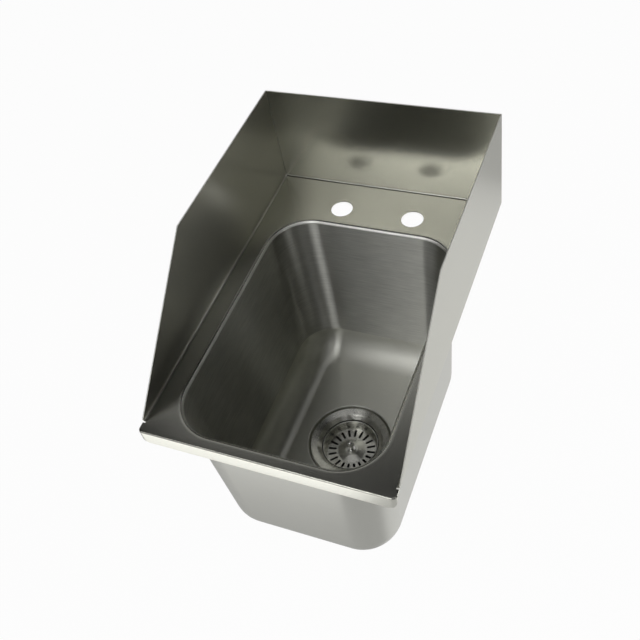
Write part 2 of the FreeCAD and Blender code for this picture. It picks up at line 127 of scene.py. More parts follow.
white = bpy.data.materials.new("white_sweep")
white.use_nodes = True
tree = white.node_tree
paint = tree.nodes["Principled BSDF"]
paint.inputs["Base Color"].default_value = (0.9, 0.9, 0.9, 1)
paint.inputs["Roughness"].default_value = 0.9
glow = node_of(tree, "ShaderNodeEmission", Color=(1, 1, 1, 1), Strength=1.0)
path = node_of(tree, "ShaderNodeLightPath")
seen = node_of(tree, "ShaderNodeMath", operation="MULTIPLY")
seen.inputs[1].default_value = FLOOR_SEEN
tree.links.new(path.outputs["Is Camera Ray"], seen.inputs[0])
share = node_of(tree, "ShaderNodeMath", operation="MULTIPLY_ADD")
share.inputs[1].default_value = FLOOR_MIRRORED
tree.links.new(path.outputs["Is Glossy Ray"], share.inputs[0])
tree.links.new(seen.outputs[0], share.inputs[2])
blend = node_of(tree, "ShaderNodeMixShader")
tree.links.new(share.outputs[0], blend.inputs[0])
tree.links.new(paint.outputs[0], blend.inputs[1])
tree.links.new(glow.outputs[0], blend.inputs[2])
tree.links.new(blend.outputs[0], tree.nodes["Material Output"].inputs["Surface"])
floor_data.materials.append(white)
print("floor at", round(cad_box[0][2], 4))

# %% World
SKY = ((0.10, 0.36), (0.30, 0.0))

world = bpy.data.worlds.new("studio")
scene.world = world
world.use_nodes = True
tree = world.node_tree
sky = tree.nodes["Background"]
way = node_of(tree, "ShaderNodeTexCoord")
split = node_of(tree, "ShaderNodeSeparateXYZ")
tree.links.new(way.outputs["Generated"], split.inputs[0])
ramp = node_of(tree, "ShaderNodeValToRGB")
while len(ramp.color_ramp.elements) < len(SKY):
    ramp.color_ramp.elements.new(1.0)
for stop, (height, level) in zip(ramp.color_ramp.elements, SKY):
    stop.position = height
    stop.color = (level, level, level, 1)
tree.links.new(split.outputs["Z"], ramp.inputs[0])
path = node_of(tree, "ShaderNodeLightPath")
backdrop = node_of(tree, "ShaderNodeMix", data_type="RGBA")  # its colour sockets are 6, 7 and 2
backdrop.inputs[7].default_value = (1, 1, 1, 1)
tree.links.new(path.outputs["Is Camera Ray"], backdrop.inputs[0])
tree.links.new(ramp.outputs[0], backdrop.inputs[6])
tree.links.new(backdrop.outputs[2], sky.inputs["Color"])
print("sky from", SKY[0][1], "at the horizon to", SKY[-1][1], "overhead")


# %% Soft lights
def soft_light(name, place, target, width, height, radiance):
    """Rectangular light of an even brightness, facing a point, unseen by the camera itself."""
    data = bpy.data.lights.new(name, "AREA")
    data.shape = "RECTANGLE"
    data.size = width
    data.size_y = height
    data.energy = radiance * math.pi * width * height
    lamp = bpy.data.objects.new(name, data)
    lamp.location = place
    aim = Vector(target) - Vector(place)
    lamp.rotation_euler = aim.to_track_quat("-Z", "Y").to_euler()
    lamp.visible_camera = False
    scene.collection.objects.link(lamp)
    print(name, "gives", round(data.energy, 2), "W")


# Place, target, width and height in metres, and radiance.
LIGHTS = {
    "front_box": ((-0.22, -1.24, 0.985), (0, 0, 0), 0.45, 0.45, 5.8),
    "front_right": ((0.62, -1.20, 1.24), (0.30, 0.10, 0), 0.45, 0.42, 1.6),
    "front_left": ((-0.966, -0.81, 0.985), (0, 0, 0), 0.45, 0.45, 1.65),
    "high_box": ((-0.43, -0.72, 1.36), (0, 0, 0), 0.70, 0.45, 1.8),
    "top_panel": ((0, 0, 1.6), (0, 0, 0), 0.80, 0.80, 0.45),
    "back_high": ((-0.66, 1.02, 1.35), (0, -0.1, 0), 1.15, 0.75, 0.40),
    "right_box": ((1.185, -0.431, 0.985), (0, 0, 0), 0.45, 0.45, 1.95),
    "right_low": ((1.355, 0.783, 0.333), (0, 0, 0), 0.80, 0.80, 2.65),
    "side_strip": ((1.12, 0.98, 0.85), (0, 0, 0), 0.16, 0.35, 1.6),
    "apron_card": ((-0.28, -0.62, -0.412), (-0.28, -0.62, 0), 0.60, 0.50, 1.35),
    "side_card": ((0.36, 0.30, -0.412), (0.36, 0.30, 0), 0.50, 0.90, 0.36),
}
for name, values in LIGHTS.items():
    soft_light(name, *values)

# %% [markdown]
# ## Brushed steel
# Rolled sheet is brushed with a belt, which leaves fine scratches along one direction. They
# smear a mirror image across themselves, so the shader's anisotropy is turned to the brushing.
# The scratches could be an image, but a noise that is squeezed across the brushing and drawn out
# along it has no seams and follows the sheet at any size. It moves the roughness, the tone and a
# shallow bump, and a second, broad noise adds the faint clouds that handling leaves. In the
# photo the backsplash smears the faucet holes sideways, so it is brushed upward. The bowl's
# walls are brushed round and its cove and floor are paler. The side splashes are a darker copy of
# the steel, a painted shade. The rim's band is painted pale, a painted highlight. Sheared edges are
# rough, and their pale colour is a painted highlight. The seams are painted near black, a painted
# shade.


# %% Brushed finish
CLOUD_SHARE = 0.45
GRAIN_START = 0.45
POLISH_SWING = 0.015
SCRATCH_HEIGHT = 0.0004


def brushed(name, colour, grain, across, rough, smear, depth=0.003, contrast=0.02):
    """Satin metal: grain is the noise's frequency along x, y and z, per metre, and across is the
    direction over the scratches, in which they smear what the metal mirrors."""
    finish = bpy.data.materials.new(name)
    finish.use_nodes = True
    tree = finish.node_tree
    metal = tree.nodes["Principled BSDF"]
    metal.inputs["Metallic"].default_value = 1.0
    metal.inputs["Anisotropic"].default_value = smear
    over = node_of(tree, "ShaderNodeCombineXYZ", X=across[0], Y=across[1], Z=across[2])
    tree.links.new(over.outputs[0], metal.inputs["Tangent"])
    place = node_of(tree, "ShaderNodeTexCoord")
    squeeze = node_of(tree, "ShaderNodeMapping", Scale=grain)
    tree.links.new(place.outputs["Object"], squeeze.inputs["Vector"])
    hair = node_of(tree, "ShaderNodeTexNoise", Scale=1.0, Detail=3.0, Roughness=0.6)
    tree.links.new(squeeze.outputs[0], hair.inputs["Vector"])
    cloud = node_of(tree, "ShaderNodeTexNoise", Scale=22.0, Detail=3.0, Roughness=0.55)
    tree.links.new(place.outputs["Object"], cloud.inputs["Vector"])
    both = node_of(tree, "ShaderNodeMath", operation="MULTIPLY_ADD")
    both.inputs[1].default_value = CLOUD_SHARE
    tree.links.new(cloud.outputs["Fac"], both.inputs[0])
    tree.links.new(hair.outputs["Fac"], both.inputs[2])
    tone = node_of(tree, "ShaderNodeValToRGB")
    tone.color_ramp.elements[0].position = GRAIN_START
    tone.color_ramp.elements[0].color = tuple((1 - contrast) * value for value in colour) + (1,)
    tone.color_ramp.elements[1].position = 1.0
    tone.color_ramp.elements[1].color = tuple((1 + contrast) * value for value in colour) + (1,)
    tree.links.new(both.outputs[0], tone.inputs[0])
    tree.links.new(tone.outputs[0], metal.inputs["Base Color"])
    polish = node_of(tree, "ShaderNodeMapRange")
    polish.inputs["From Min"].default_value = GRAIN_START
    polish.inputs["From Max"].default_value = 1.0
    polish.inputs["To Min"].default_value = rough - POLISH_SWING
    polish.inputs["To Max"].default_value = rough + POLISH_SWING
    tree.links.new(both.outputs[0], polish.inputs["Value"])
    tree.links.new(polish.outputs[0], metal.inputs["Roughness"])
    scratch = node_of(tree, "ShaderNodeBump", Strength=depth, Distance=SCRATCH_HEIGHT)
    tree.links.new(hair.outputs["Fac"], scratch.inputs["Height"])
    tree.links.new(scratch.outputs[0], metal.inputs["Normal"])
    return finish


STEEL = (0.60, 0.598, 0.538)
DRAWN = (0.59, 0.592, 0.548)
# The side splashes' steel is a darker copy of the deck's steel, a painted shade.
SIDE_STEEL_SHADED = (0.55, 0.548, 0.493)
SATIN = (0.74, 0.74, 0.68)
# The rim's pale colour is a painted highlight.
RIM_HIGHLIGHT_PALE = (0.95, 0.948, 0.90)
ROLLED = (0.52, 0.52, 0.48)
# Sheared edges are rough; their pale colour is a painted highlight.
SHEARED_AND_HIGHLIT = (0.92, 0.918, 0.87)
# The near-black seam colour is a painted shade of the gap.
SEAM_SHADE_COLOUR = (0.10, 0.095, 0.085)
SIDEWAYS = (1, 0, 0)
UPRIGHT = (0, 0, 1)
ALONG_Y = (2400, 40, 2400)
ALONG_Z = (2400, 2400, 40)
ROUND_Z = (30, 30, 700)
EVEN = (900, 900, 900)
deck_finish = brushed("deck_brushed_front_to_back", STEEL, ALONG_Y, SIDEWAYS, 0.25, 0.7)
back_finish = brushed("splash_brushed_upward", STEEL, ALONG_Z, SIDEWAYS, 0.26, 0.8)
side_finish = brushed("splash_brushed_front_to_back_shaded", SIDE_STEEL_SHADED, ALONG_Y, UPRIGHT, 0.30, 0.8)
wall_finish = brushed("bowl_wall_brushed_round", DRAWN, ROUND_Z, UPRIGHT, 0.45, 1.0, 0.20, 0.16)
cove_finish = brushed("bowl_cove_satin", SATIN, (60, 900, 900), (0, 1, 1), 0.44, 0.85)
rim_highlight_finish = brushed("bowl_rim_painted_highlight", RIM_HIGHLIGHT_PALE, (300, 300, 300), UPRIGHT, 0.45, 0.0, 0.003)
outer_finish = brushed("bowl_outside_rolled", ROLLED, (120, 120, 400), UPRIGHT, 0.34, 0.0, 0.01)
edge_highlight_finish = brushed("sheared_edge_painted_highlight", SHEARED_AND_HIGHLIT, EVEN, UPRIGHT, 0.75, 0.0, 0.2, 0.06)
seam_shade_finish = brushed("seam_painted_shade", SEAM_SHADE_COLOUR, EVEN, UPRIGHT, 0.60, 0.0, 0.2, 0.10)
print("finishes", [f.name for f in bpy.data.materials])

# %% [markdown]
# ## Turned and bright metal
# The drain's pieces are spun on a lathe, so their marks are rings round the axis. A wave texture
# in rings about Z gives them, because the drain's axis is the Z axis. The knob and the tailpiece
# are polished, with only a faint haze. The cup's inside is near black, a painted shade of its
# depth.


# %% Turned and polished finishes
RING_SHARE = 0.4
TURNED_SWING = 0.05
RING_HEIGHT = 0.0003


def turned_finish(name, colour, rough, smear, rings, depth=0.04):
    """Lathe-turned metal, with rings about the drain's axis."""
    finish = bpy.data.materials.new(name)
    finish.use_nodes = True
    tree = finish.node_tree
    metal = tree.nodes["Principled BSDF"]
    metal.inputs["Metallic"].default_value = 1.0
    place = node_of(tree, "ShaderNodeTexCoord")
    metal.inputs["Anisotropic"].default_value = smear
    spoke = node_of(tree, "ShaderNodeVectorMath", operation="MULTIPLY")
    spoke.inputs[1].default_value = (1, 1, 0)
    tree.links.new(place.outputs["Object"], spoke.inputs[0])
    tree.links.new(spoke.outputs[0], metal.inputs["Tangent"])
    wave = node_of(tree, "ShaderNodeTexWave", wave_type="RINGS", rings_direction="Z")
    wave.inputs["Scale"].default_value = rings
    wave.inputs["Distortion"].default_value = 1.5
    wave.inputs["Detail"].default_value = 2.0
    tree.links.new(place.outputs["Object"], wave.inputs["Vector"])
    cloud = node_of(tree, "ShaderNodeTexNoise", Scale=60.0, Detail=3.0)
    tree.links.new(place.outputs["Object"], cloud.inputs["Vector"])
    both = node_of(tree, "ShaderNodeMath", operation="MULTIPLY_ADD")
    both.inputs[1].default_value = RING_SHARE
    tree.links.new(wave.outputs["Fac"], both.inputs[0])
    tree.links.new(cloud.outputs["Fac"], both.inputs[2])
    tone = node_of(tree, "ShaderNodeValToRGB")
    tone.color_ramp.elements[0].position = 0.35
    tone.color_ramp.elements[0].color = tuple(0.88 * value for value in colour) + (1,)
    tone.color_ramp.elements[1].position = 1.0
    tone.color_ramp.elements[1].color = tuple(min(1, 1.08 * value) for value in colour) + (1,)
    tree.links.new(both.outputs[0], tone.inputs[0])
    tree.links.new(tone.outputs[0], metal.inputs["Base Color"])
    polish = node_of(tree, "ShaderNodeMapRange")
    polish.inputs["From Min"].default_value = 0.3
    polish.inputs["From Max"].default_value = 1.0
    polish.inputs["To Min"].default_value = max(0.03, rough - TURNED_SWING)
    polish.inputs["To Max"].default_value = rough + TURNED_SWING
    tree.links.new(both.outputs[0], polish.inputs["Value"])
    tree.links.new(polish.outputs[0], metal.inputs["Roughness"])
    groove = node_of(tree, "ShaderNodeBump", Strength=depth, Distance=RING_HEIGHT)
    tree.links.new(wave.outputs["Fac"], groove.inputs["Height"])
    tree.links.new(groove.outputs[0], metal.inputs["Normal"])
    return finish


drain_turned = turned_finish("drain_turned", (0.84, 0.835, 0.78), 0.26, 0.92, 900.0)
# A near-black finish for the cup's inside: a painted shade of its depth.
cup_shade_finish = turned_finish("drain_cup_painted_shade", (0.12, 0.118, 0.105), 0.45, 0.0, 900.0)
basket_finish = turned_finish("basket_turned", (0.93, 0.925, 0.86), 0.25, 0.92, 700.0)
post_bright = turned_finish("post_bright", (0.92, 0.915, 0.89), 0.14, 0.0, 1500.0, 0.02)
tail_bright = turned_finish("tailpiece_bright", (0.70, 0.70, 0.69), 0.08, 0.0, 400.0, 0.01)
PLATED = (0.66, 0.655, 0.62)
plated = brushed("clip_plated", PLATED, (260, 260, 260), UPRIGHT, 0.30, 0.0, 0.08, 0.08)
print("turned", [f.name for f in (drain_turned, cup_shade_finish, basket_finish, post_bright)])

# %% [markdown]
# ## Plain stuff under the sink
# Rubber, putty, fibre board and cast metal aren't mirrors: each has a dull colour with its own
# grain. One noise at two sizes does for all of them, with the numbers telling them apart.


# %% Dull finishes
DULL_SWING = 0.08
SKIN_HEIGHT = 0.0005


def dull(name, dark, light, rough, size, depth, metallic=0.0):
    """Dull material with a speckle of the given size, in metres."""
    finish = bpy.data.materials.new(name)
    finish.use_nodes = True
    tree = finish.node_tree
    body = tree.nodes["Principled BSDF"]
    body.inputs["Metallic"].default_value = metallic
    place = node_of(tree, "ShaderNodeTexCoord")
    speck = node_of(tree, "ShaderNodeTexNoise", Scale=1 / size, Detail=4.0, Roughness=0.65)
    tree.links.new(place.outputs["Object"], speck.inputs["Vector"])
    tone = node_of(tree, "ShaderNodeValToRGB")
    tone.color_ramp.elements[0].position = 0.3
    tone.color_ramp.elements[0].color = dark + (1,)
    tone.color_ramp.elements[1].position = 0.7
    tone.color_ramp.elements[1].color = light + (1,)
    tree.links.new(speck.outputs["Fac"], tone.inputs[0])
    tree.links.new(tone.outputs[0], body.inputs["Base Color"])
    gloss = node_of(tree, "ShaderNodeMapRange")
    gloss.inputs["To Min"].default_value = rough - DULL_SWING
    gloss.inputs["To Max"].default_value = rough + DULL_SWING
    tree.links.new(speck.outputs["Fac"], gloss.inputs["Value"])
    tree.links.new(gloss.outputs[0], body.inputs["Roughness"])
    skin = node_of(tree, "ShaderNodeBump", Strength=depth, Distance=SKIN_HEIGHT)
    tree.links.new(speck.outputs["Fac"], skin.inputs["Height"])
    tree.links.new(skin.outputs[0], body.inputs["Normal"])
    return finish


rubber = dull("dark_rubber", (0.018, 0.018, 0.018), (0.035, 0.034, 0.033), 0.62, 0.0008, 0.15)
putty = dull("grey_putty", (0.38, 0.35, 0.30), (0.50, 0.47, 0.41), 0.70, 0.003, 0.2)
fibre = dull("brown_fibre_board", (0.27, 0.16, 0.085), (0.44, 0.29, 0.17), 0.80, 0.0012, 0.35)
cast = dull("die_cast_metal", (0.40, 0.40, 0.39), (0.54, 0.54, 0.53), 0.42, 0.0015, 0.25, 0.85)
print("finishes", [rubber.name, putty.name, fibre.name, cast.name])

# %% [markdown]
# ## From bmesh to piece
# Weighted normals keep the large flats flat beside their rounded edges.


# %% Helpers for pieces
MM = 0.001


def finish_piece(bm, name, finishes, body, nodes, crease=40):
    """Object for a bmesh: smooth where it bends, sharp where it turns by more than crease."""
    mesh = bpy.data.meshes.new(name)
    bm.to_mesh(mesh)
    bm.free()
    for finish in finishes:
        mesh.materials.append(finish)
    mesh.shade_smooth()
    mesh.set_sharp_from_angle(angle=math.radians(crease))
    piece = bpy.data.objects.new(name, mesh)
    scene.collection.objects.link(piece)
    weighted = piece.modifiers.new("flat_faces", "WEIGHTED_NORMAL")
    weighted.keep_sharp = True
    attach(piece, body)
    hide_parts(*nodes)
    spans = [[v.co[i] / MM for v in mesh.vertices] for i in range(3)]
    low, high = ([round(pick(span), 1) for span in spans] for pick in (min, max))
    print(name, len(mesh.polygons), "faces", low, high)


def ease_edges(bm, width, segments=2, angle=50):
    """Breaks the sharp edges, as a file or a stamping does, so that they catch the light."""
    sharp = [e for e in bm.edges if e.is_manifold and e.calc_face_angle() > math.radians(angle)]
    bmesh.ops.bevel(
        bm, geom=sharp, offset=width, offset_type="OFFSET", affect="EDGES",
        segments=segments, profile=0.5, material=-1, clamp_overlap=True,
    )


def round_rectangle(bm, width, length, radius, height, segments):
    """Edges of a rectangle with round corners, about the Z axis."""
    square = bmesh.ops.create_grid(bm, x_segments=1, y_segments=1, size=0.5)["verts"]
    bmesh.ops.scale(bm, vec=(width, length, 1), verts=square)
    bmesh.ops.translate(bm, vec=(0, 0, height), verts=square)
    made = bmesh.ops.bevel(
        bm, geom=square, offset=radius, offset_type="OFFSET", affect="VERTICES",
        segments=segments, profile=0.5, material=-1, clamp_overlap=False,
    )
    face = [f for f in made["verts"][0].link_faces if len(f.verts) > 4][0]
    edges = face.edges[:]
    bmesh.ops.delete(bm, geom=[face], context="FACES_ONLY")
    return edges


# %% [markdown]
# ## The bowl
# A bowl like this is drawn from sheet: a box with round upright corners, walls that lean a little
# and a wide cove round the floor. It starts as a cube. Bevels give first the upright corners and
# then the cove, and between them the floor is drawn in for the draft. Bridged loops add the flat
# land at the rim and the round seat of the drain, and the wall comes last, on the outside.

# %% Bowl
TOP = 1.5 * MM
SHEET = 1.5 * MM
BEND_RADIUS = 2.5 * MM
BOWL_WIDTH = 254 * MM
BOWL_LENGTH = 355.6 * MM
BOWL_DEPTH = 257 * MM
BOWL_SHEET = 1.2 * MM
BOWL_CORNER = 55 * MM
SIDE_DRAFT = 2.2
END_DRAFT = 2.75
COVE_RADIUS = 40 * MM
COVE_OFFSET = 0.957 * COVE_RADIUS  # the leaning walls need a little less than the radius
COVE_STEPS = 14
RIM_RADIUS = 5 * MM
RIM_WIDTH = 6 * MM
SEAT_RADIUS = 60.5 * MM
SEAT_STEPS = 96
SEAT_DEPTH = 7 * MM
SEAT_SLOPE = 1.5 * MM
SEAT_EDGE = 1.5 * MM
DRAIN_HOLE = 46.5 * MM
CORNER_STEPS = 20
FLOOR = TOP - BOWL_DEPTH

bm = bmesh.new()
cube = bmesh.ops.create_cube(bm, size=1)["verts"]
bmesh.ops.scale(bm, vec=(BOWL_WIDTH, BOWL_LENGTH, BOWL_DEPTH), verts=cube)
bmesh.ops.translate(bm, vec=(0, 0, TOP - BOWL_DEPTH / 2), verts=cube)
upright = [e for e in bm.edges if abs(e.verts[0].co.z - e.verts[1].co.z) > BOWL_DEPTH / 2]
bmesh.ops.bevel(
    bm, geom=upright, offset=BOWL_CORNER, offset_type="OFFSET", affect="EDGES",
    segments=CORNER_STEPS, profile=0.5, material=-1, clamp_overlap=False,
)
drawn_x = 1 - 2 * BOWL_DEPTH * math.tan(math.radians(SIDE_DRAFT)) / BOWL_WIDTH
drawn_y = 1 - 2 * BOWL_DEPTH * math.tan(math.radians(END_DRAFT)) / BOWL_LENGTH
low = [v for v in bm.verts if v.co.z < FLOOR + MM]
bmesh.ops.scale(bm, vec=(drawn_x, drawn_y, 1), verts=low)

caps = [f for f in bm.faces if abs(f.normal.z) > 0.9]
bmesh.ops.delete(bm, geom=[f for f in caps if f.normal.z > 0], context="FACES_ONLY")
floor_edges = [e for e in bm.edges if max(v.co.z for v in e.verts) < FLOOR + MM]
bmesh.ops.bevel(
    bm, geom=floor_edges, offset=COVE_OFFSET, offset_type="OFFSET", affect="EDGES",
    segments=COVE_STEPS, profile=0.5, material=-1, clamp_overlap=False,
)
rim_edges = [e for e in bm.edges if e.is_boundary]
land_edges = round_rectangle(
    bm, BOWL_WIDTH + 2 * RIM_WIDTH, BOWL_LENGTH + 2 * RIM_WIDTH, BOWL_CORNER + RIM_WIDTH, TOP,
    CORNER_STEPS,
)
bmesh.ops.bridge_loops(bm, edges=rim_edges + land_edges)
bmesh.ops.bevel(
    bm, geom=rim_edges, offset=RIM_RADIUS, offset_type="OFFSET", affect="EDGES",
    segments=6, profile=0.5, material=-1, clamp_overlap=False,
)

low_faces = [f for f in bm.faces if f.calc_center_median().z < FLOOR + MM]
bottom = max(low_faces, key=lambda f: f.calc_area())
bottom_edges = bottom.edges[:]
bmesh.ops.delete(bm, geom=[bottom], context="FACES_ONLY")
ring = bmesh.ops.create_circle(bm, radius=SEAT_RADIUS, segments=SEAT_STEPS, cap_ends=False)["verts"]
bmesh.ops.translate(bm, verts=ring, vec=(0, 0, FLOOR))
seat_edges = [e for e in bm.edges if e.is_wire]
bmesh.ops.triangle_fill(bm, edges=bottom_edges + seat_edges, use_beauty=True, normal=(0, 0, 1))
side = bmesh.ops.extrude_edge_only(bm, edges=seat_edges)["geom"]
foot = [g for g in side if isinstance(g, bmesh.types.BMVert)]
slope = 1 - SEAT_SLOPE / SEAT_RADIUS
bmesh.ops.scale(bm, vec=(slope, slope, 1), verts=foot)
bmesh.ops.translate(bm, vec=(0, 0, -SEAT_DEPTH), verts=foot)
foot_edges = [g for g in side if isinstance(g, bmesh.types.BMEdge) and g.is_boundary]
shelf = bmesh.ops.extrude_edge_only(bm, edges=foot_edges)["geom"]
inner = [g for g in shelf if isinstance(g, bmesh.types.BMVert)]
reach = DRAIN_HOLE / (SEAT_RADIUS - SEAT_SLOPE)
bmesh.ops.scale(bm, vec=(reach, reach, 1), verts=inner)
bmesh.ops.bevel(
    bm, geom=seat_edges + foot_edges, offset=SEAT_EDGE, offset_type="OFFSET", affect="EDGES",
    segments=3, profile=0.5, material=-1, clamp_overlap=True,
)
bmesh.ops.recalc_face_normals(bm, faces=bm.faces)
high_faces = [f for f in bm.faces if f.calc_center_median().z > FLOOR + BOWL_DEPTH / 2]
land = max(high_faces, key=lambda f: abs(f.normal.z))
print("land faces point", round(land.normal.z, 2))

# %% [markdown]
# Five finishes meet on the bowl: the land is brushed like the deck, the rim and the edge of the
# drain's seat are painted pale as a painted highlight, the walls are brushed round, the cove and
# floor are satin, and the outside is as it left the press. A face's height tells which it takes,
# and the faces that the wall's thickness adds are the outside.

# %% Bowl's finishes and wall
LAND, RIM, WALL, COVE, OUTSIDE = range(5)
NEAR = 0.05 * MM
LAND_FOOT = TOP - 0.12 * RIM_RADIUS
RIM_FOOT = TOP - 0.70 * RIM_RADIUS
COVE_TOP = FLOOR + 0.96 * COVE_RADIUS

# Faces just under the land and at the seat's edge take the pale rim finish, a painted highlight.
for face in bm.faces:
    height = face.calc_center_median().z
    if height > LAND_FOOT:
        face.material_index = LAND
    elif height > RIM_FOOT:
        face.material_index = RIM
    elif height > COVE_TOP:
        face.material_index = WALL
    elif FLOOR - SEAT_EDGE < height < FLOOR - NEAR:
        face.material_index = RIM
    else:
        face.material_index = COVE
if land.normal.z < 0:
    bmesh.ops.reverse_faces(bm, faces=bm.faces)
inside_faces = set(bm.faces)
bmesh.ops.solidify(bm, geom=bm.faces[:], thickness=BOWL_SHEET)
for face in bm.faces:
    if face not in inside_faces:
        face.material_index = OUTSIDE
finish_piece(
    bm, "bowl_shell", [deck_finish, rim_highlight_finish, wall_finish, cove_finish, outer_finish],
    "sink", ["bowl"],
)

# %% [markdown]
# ## The deck and its apron
# The deck is one flat sheet with an opening for the bowl and two faucet holes. A filled outline
# keeps the holes exact. Rows of points carry its front edge round the bend and down the apron. A
# spin could bend only a straight edge, and this one runs round both front corners, where the
# apron fades out. A hair's gap at the back keeps it apart from the backsplash's foot.

# %% Deck
DECK_FRONT = -194.8 * MM
DECK_BACK = 262.4 * MM
DECK_SIDE = 158.75 * MM
BEND_OUTER = BEND_RADIUS + SHEET
FRONT_BEND = 2.0 * MM
FRONT_CORNER = 6 * MM
FRONT_END = 17 * MM
LIP_STEPS = 14
BEND_STEPS = 6
DECK_EASE = 0.3 * MM
SEAM = 0.3 * MM
APRON_HEIGHT = 21 * MM
EAR_BACK = -181.4 * MM
FAUCET_SPACING = 101.6 * MM
FAUCET_Y = 209.4 * MM
FAUCET_HOLE = 30 * MM
HOLE_STEPS = 48


def front_lip(steps):
    """Front edge from right to left: where the flat ends, which way it bends, how far it drops."""
    half = [((DECK_SIDE - FRONT_BEND, EAR_BACK), (1, 0), 0)]
    for step in range(steps + 1):
        run = FRONT_END * step / steps
        turn = -min(run / FRONT_CORNER, math.pi / 2)
        past = max(0, run - FRONT_CORNER * math.pi / 2)
        out = (math.cos(turn), math.sin(turn))
        x = DECK_SIDE - FRONT_CORNER + (FRONT_CORNER - FRONT_BEND) * out[0] - past
        y = DECK_FRONT + FRONT_CORNER + (FRONT_CORNER - FRONT_BEND) * out[1]
        half.append(((x, y), out, math.sqrt(1 - (1 - step / steps) ** 2)))
    return half + [((-x, y), (-out[0], out[1]), drop) for (x, y), out, drop in reversed(half)]


bm = bmesh.new()
inside = DECK_SIDE - BEND_OUTER
back = DECK_BACK - BEND_OUTER
lip = front_lip(LIP_STEPS)
outline = [place for place, out, drop in lip] + [
    (-inside, EAR_BACK), (-inside, back - SEAM), (inside, back - SEAM), (inside, EAR_BACK),
]
corners = [bm.verts.new((x, y, TOP)) for x, y in outline]
for first, second in zip(corners, corners[1:] + corners[:1]):
    bm.edges.new((first, second))
round_rectangle(
    bm, BOWL_WIDTH + 2 * RIM_WIDTH, BOWL_LENGTH + 2 * RIM_WIDTH, BOWL_CORNER + RIM_WIDTH, TOP,
    CORNER_STEPS,
)
for sign in (-1, 1):
    hole = bmesh.ops.create_circle(
        bm, radius=FAUCET_HOLE / 2, segments=HOLE_STEPS, cap_ends=False
    )["verts"]
    bmesh.ops.translate(bm, verts=hole, vec=(sign * FAUCET_SPACING / 2, FAUCET_Y, TOP))
bmesh.ops.triangle_fill(bm, edges=bm.edges[:], use_beauty=True, normal=(0, 0, 1))
row = corners[:len(lip)]
for step in range(1, BEND_STEPS + 2):
    turn = math.pi / 2 * min(step, BEND_STEPS) / BEND_STEPS
    reach, fall = FRONT_BEND * math.sin(turn), FRONT_BEND * (1 - math.cos(turn))
    below = []
    for (x, y), out, drop in lip:
        hem = drop * (APRON_HEIGHT - FRONT_BEND) if step > BEND_STEPS else 0
        below.append(bm.verts.new((x + reach * out[0], y + reach * out[1], TOP - fall - hem)))
    for quad in zip(row, row[1:], below[1:], below):
        bm.faces.new(quad)
    row = below
bmesh.ops.remove_doubles(bm, verts=bm.verts, dist=1e-6)
bmesh.ops.recalc_face_normals(bm, faces=bm.faces)
flat = max(bm.faces, key=lambda f: f.calc_area() * abs(f.normal.z))
if flat.normal.z < 0:
    bmesh.ops.reverse_faces(bm, faces=bm.faces)
bmesh.ops.solidify(bm, geom=bm.faces[:], thickness=SHEET)
ease_edges(bm, DECK_EASE)
finish_piece(bm, "deck_sheet", [deck_finish], "sink", ["deck"])

# %% [markdown]
# ## The splashes
# Each splash is an upright sheet with a small bend at its foot. One vertex is spun into the bend,
# pulled up to the full height and then along the sheet. Once it has its thickness, planes cut the
# tapered front and the mitred corner, which fills neatly because the sheet is already solid. The
# cut edges are rough, and their pale colour is a painted highlight. The seam in each inner corner
# and the line where the backsplash's foot meets the deck are painted near black, a painted shade
# of the gap.

# %% Splash sheets
SPLASH_HEIGHT = 146 * MM
SPLASH_FULL = 262 * MM
SPLASH_SETBACK = 15 * MM
TIP_HEIGHT = 0.5 * MM
MITRE_GAP = 0.15 * MM
SPLASH_EASE = 0.4 * MM
FOOT_STEPS = 8
CUT_EDGE = 1
# The seam faces and a thin band at the backsplash's foot get the painted shade.
SEAM_SHADE_INDEX = 2
FOOT_SHADE_BAND = 0.45 * MM


def bent_sheet(length):
    """Upright sheet along +Y, with its foot's edge on the Y axis and its bend towards +X."""
    sheet = bmesh.new()
    start = sheet.verts.new((0, 0, 0))
    bend = bmesh.ops.spin(
        sheet, geom=[start], cent=(0, 0, BEND_RADIUS), axis=(0, -1, 0), angle=math.pi / 2,
        steps=FOOT_STEPS,
    )
    upper = [g for g in bend["geom_last"] if isinstance(g, bmesh.types.BMVert)]
    rise = bmesh.ops.extrude_vert_indiv(sheet, verts=upper)["verts"]
    bmesh.ops.translate(sheet, verts=rise, vec=(0, 0, SPLASH_HEIGHT - BEND_RADIUS))
    run = bmesh.ops.extrude_edge_only(sheet, edges=sheet.edges[:])["geom"]
    far = [g for g in run if isinstance(g, bmesh.types.BMVert)]
    bmesh.ops.translate(sheet, verts=far, vec=(0, length, 0))
    bmesh.ops.recalc_face_normals(sheet, faces=sheet.faces)
    wall = max(sheet.faces, key=lambda f: f.calc_area())
    if wall.normal.x > 0:
        bmesh.ops.reverse_faces(sheet, faces=sheet.faces)
    bmesh.ops.solidify(sheet, geom=sheet.faces[:], thickness=SHEET)
    return sheet


def cut_sheet(sheet, point, normal):
    """Cuts a solid sheet by a plane, drops the side that normal points to and closes the cut."""
    cut = bmesh.ops.bisect_plane(
        sheet, geom=sheet.verts[:] + sheet.edges[:] + sheet.faces[:],
        dist=1e-7, plane_co=point, plane_no=normal, clear_outer=True,
    )["geom_cut"]
    rim = [g for g in cut if isinstance(g, bmesh.types.BMEdge) and g.is_boundary]
    bmesh.ops.holes_fill(sheet, edges=rim, sides=0)


def sheared(sheet, axis):
    """Finishes of the cut edges, which look neither way along the thickness, with a pale painted
    highlight, and of the seams, a near-black painted shade.
    """
    for face in sheet.faces:
        place = face.calc_center_median()
        if axis == 1 and place.z < TOP + FOOT_SHADE_BAND and face.normal.z > 0.5:
            face.material_index = SEAM_SHADE_INDEX
        if place.z < TOP + BEND_RADIUS:
            continue
        if abs(face.normal[axis]) < 0.95:
            face.material_index = CUT_EDGE
        if abs(abs(place.x) - inner_x) < SEAM and abs(place.y - inner_y) < SEAM:
            face.material_index = SEAM_SHADE_INDEX


